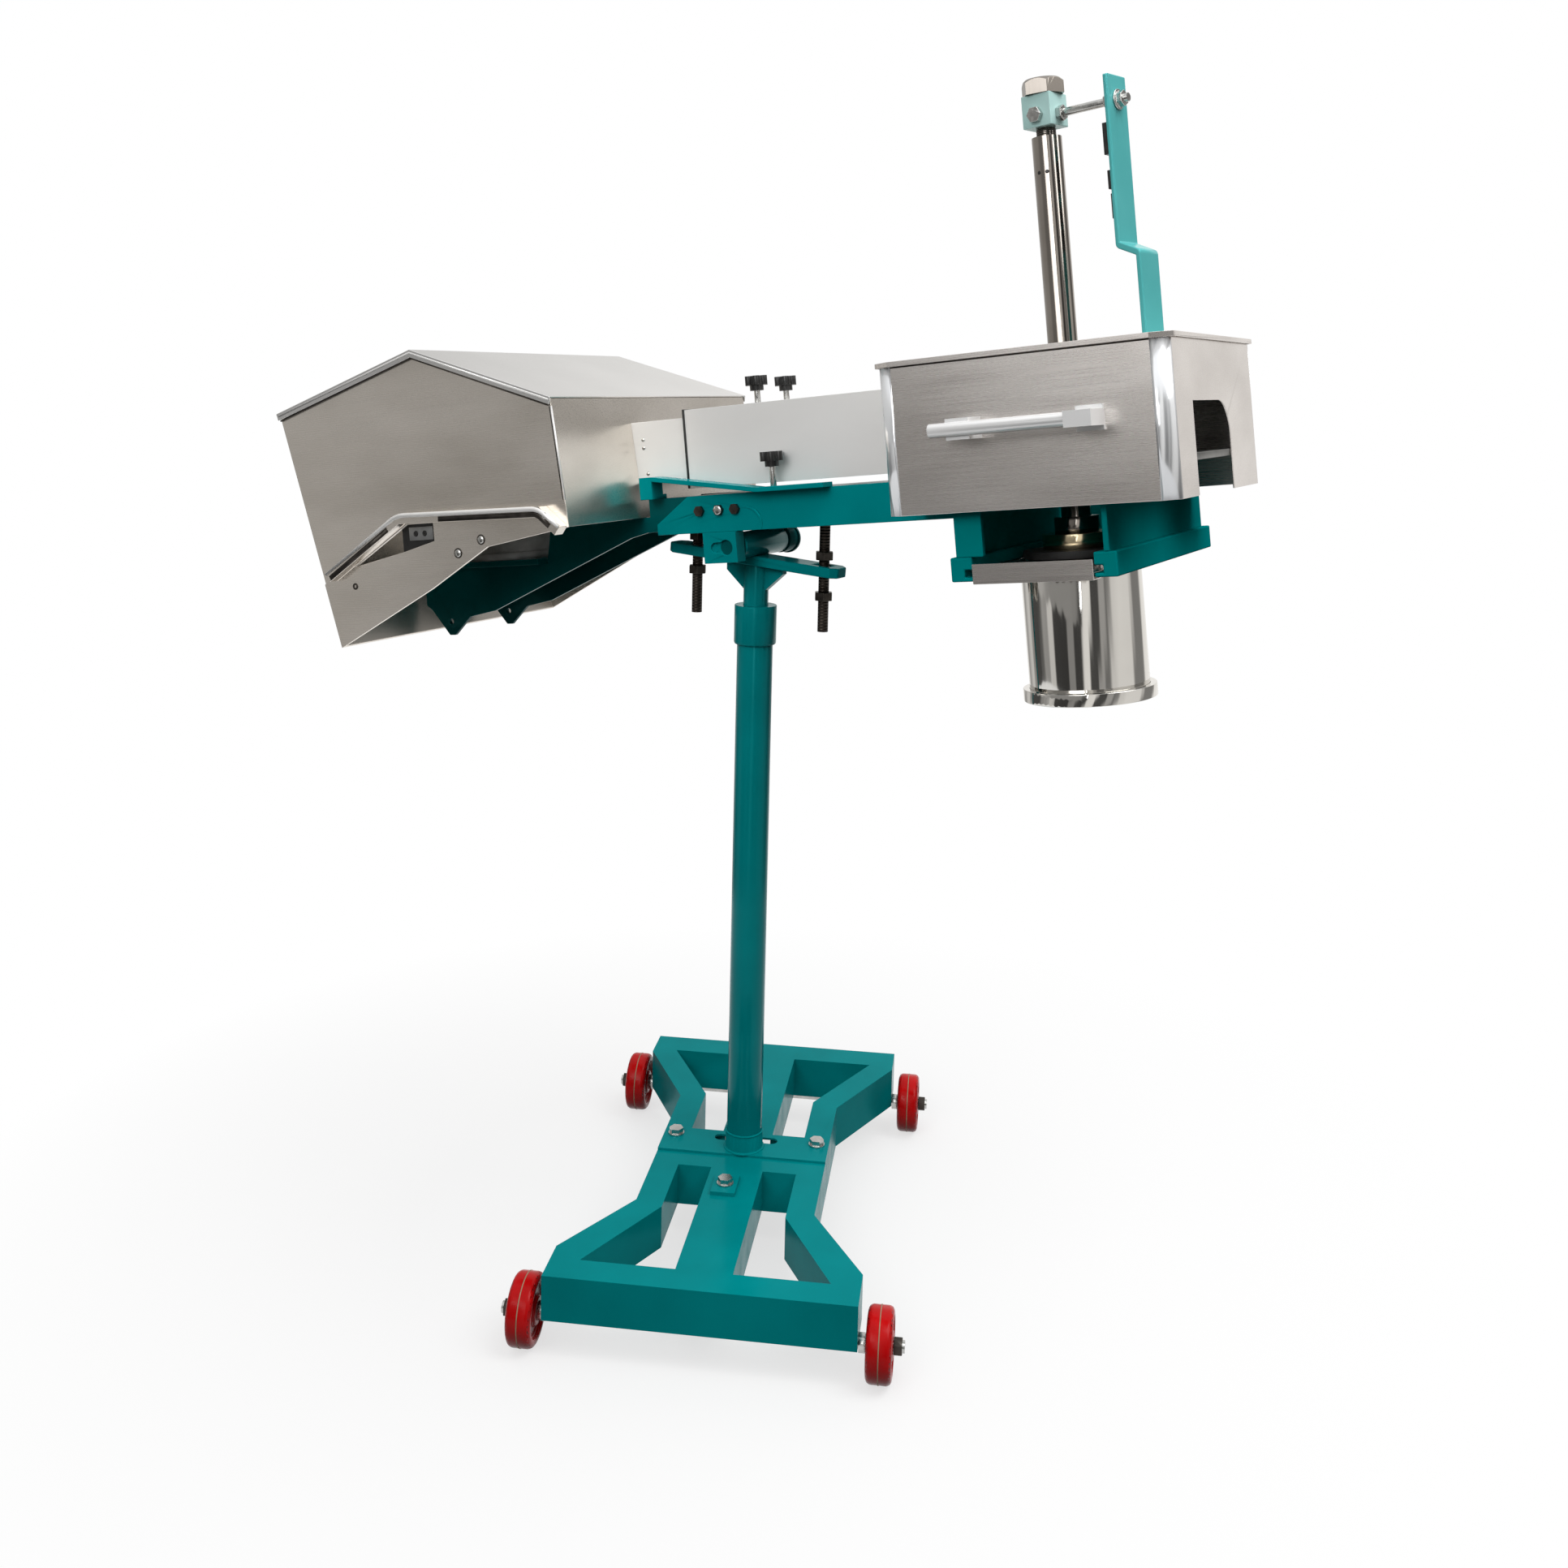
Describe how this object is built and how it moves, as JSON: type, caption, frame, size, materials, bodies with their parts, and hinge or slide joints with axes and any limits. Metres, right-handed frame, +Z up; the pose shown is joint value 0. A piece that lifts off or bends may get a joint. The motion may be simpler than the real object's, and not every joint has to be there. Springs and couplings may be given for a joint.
{
  "type": "sev press",
  "caption": "Motor driven sev press: belt driven screw ram over a slide out dough pot, on a swivel and tilt arm carried by a wheeled pedestal.",
  "frame": {"origin": "on the floor under the post axis", "axes": "+Z up along the post, X across the base, +Y towards the rear of the base"},
  "size_m": [1.3322, 0.8809, 1.5299],
  "materials": {
    "teal": "gloss enamel",
    "dark_teal": "gloss enamel",
    "pale_teal": "gloss enamel",
    "stainless": "brushed",
    "chrome": "polished",
    "zinc": "zinc plated",
    "black_steel": "blackened",
    "brass": "turned",
    "cast": "as cast",
    "red_wheel": "gloss",
    "black_plastic": "matte",
    "white_plastic": "matte",
    "seal": "matte"
  },
  "bodies": {
    "base": {"base_front": "teal", "base_rear": "teal", "base_bolts": "zinc", "post": "teal", "post_sleeve": "teal", "axles": "zinc", "axle_nuts": "zinc"},
    "wheel_front_left": {"wheel_fl": "red_wheel"},
    "wheel_front_right": {"wheel_fr": "red_wheel"},
    "wheel_rear_left": {"wheel_rl": "red_wheel"},
    "wheel_rear_right": {"wheel_rr": "red_wheel"},
    "turret": {"turret_neck": "teal", "cross_bar": "teal", "pivot_tube": "teal"},
    "arm": {"beam": "teal", "beam_bolts": "zinc", "cradle_plates": "dark_teal", "motor_plate": "dark_teal", "pivot_block": "teal", "pivot_bush": "teal", "pivot_pin": "dark_teal", "stop_studs": "black_steel", "stop_nuts": "black_steel", "tension_strip": "teal", "duct": "stainless", "duct_sleeve": "stainless", "knob_studs": "zinc", "housing_shell": "stainless", "housing_roof": "stainless", "skirt": "stainless", "switch_box": "black_plastic", "motor": "cast", "belt": "seal", "head_frame": "teal", "deck_plate": "zinc", "rail_frame": "teal", "bearing_housing": "cast", "box_cover": "stainless", "box_lid": "stainless", "handle": "stainless", "guide_block": "white_plastic"},
    "rotor": {"motor_pulley": "cast"},
    "drive": {"drive_pulley": "cast", "drive_nut": "brass"},
    "ram_group": {"ram": "chrome", "torque_collar": "pale_teal", "top_nut": "chrome", "torque_rod": "chrome", "torque_fasteners": "zinc", "guide_bar": "teal", "bar_pads": "black_plastic", "brass_ring": "brass", "piston": "seal"},
    "pot_group": {"pot": "chrome", "pot_plate": "stainless"},
    "cap": {"die_cap": "chrome", "die_plate": "chrome"},
    "knob_a": {"knob_top_front": "black_plastic"},
    "knob_b": {"knob_top_rear": "black_plastic"},
    "knob_c": {"knob_front": "black_plastic"}
  },
  "joints": [
    {"name": "wheel_front_left_roll", "type": "hinge", "parent": "base", "child": "wheel_front_left", "pos_m": [-0.213, -0.32, 0.042], "axis": [1, 0, 0], "continuous": true},
    {"name": "wheel_front_right_roll", "type": "hinge", "parent": "base", "child": "wheel_front_right", "pos_m": [0.213, -0.32, 0.042], "axis": [1, 0, 0], "continuous": true},
    {"name": "wheel_rear_left_roll", "type": "hinge", "parent": "base", "child": "wheel_rear_left", "pos_m": [-0.213, 0.296, 0.042], "axis": [1, 0, 0], "continuous": true},
    {"name": "wheel_rear_right_roll", "type": "hinge", "parent": "base", "child": "wheel_rear_right", "pos_m": [0.213, 0.296, 0.042], "axis": [1, 0, 0], "continuous": true},
    {"name": "swivel", "type": "hinge", "parent": "base", "child": "turret", "pos_m": [0, 0, 0.85], "axis": [0, 0, 1], "continuous": true},
    {"name": "tilt", "type": "hinge", "parent": "turret", "child": "arm", "pos_m": [0, 0, 0.942], "axis": [0.3843, 0.9232, 0], "range_deg": [-2.5, 2.5]},
    {"name": "drive_turn", "type": "hinge", "parent": "arm", "child": "drive", "pos_m": [0.39871, -0.16597, 1.12723], "axis": [-0.1109, 0.0462, 0.9928], "range_deg": [-4200, 0]},
    {"name": "ram_slide", "type": "slide", "parent": "arm", "child": "ram_group", "axis": [-0.1109, 0.0462, 0.9928], "range_m": [-0.14, 0]},
    {"name": "rotor_turn", "type": "hinge", "parent": "arm", "child": "rotor", "pos_m": [-0.38125, 0.1587, 1.02499], "axis": [-0.1109, 0.0462, 0.9928], "range_deg": [-6682, 0]},
    {"name": "pot_slide", "type": "slide", "parent": "arm", "child": "pot_group", "axis": [0.3843, 0.9232, 0], "range_m": [-0.2, 0]},
    {"name": "cap_turn", "type": "hinge", "parent": "pot_group", "child": "cap", "pos_m": [0.43609, -0.18153, 0.79267], "axis": [-0.1109, 0.0462, 0.9928], "continuous": true},
    {"name": "knob_a_turn", "type": "hinge", "parent": "arm", "child": "knob_a", "pos_m": [0.00115, -0.04164, 1.15056], "axis": [-0.1109, 0.0462, 0.9928], "continuous": true},
    {"name": "knob_b_turn", "type": "hinge", "parent": "arm", "child": "knob_b", "pos_m": [0.03036, 0.02852, 1.15056], "axis": [-0.1109, 0.0462, 0.9928], "continuous": true},
    {"name": "knob_c_turn", "type": "hinge", "parent": "arm", "child": "knob_c", "pos_m": [0.03329, -0.10701, 1.0474], "axis": [-0.1109, 0.0462, 0.9928], "continuous": true}
  ],
  "couplings": [
    {"joint": "ram_slide", "follows": "drive_turn", "m_per_rad": 0.0019099},
    {"joint": "rotor_turn", "follows": "drive_turn", "ratio": 1.5897}
  ]
}
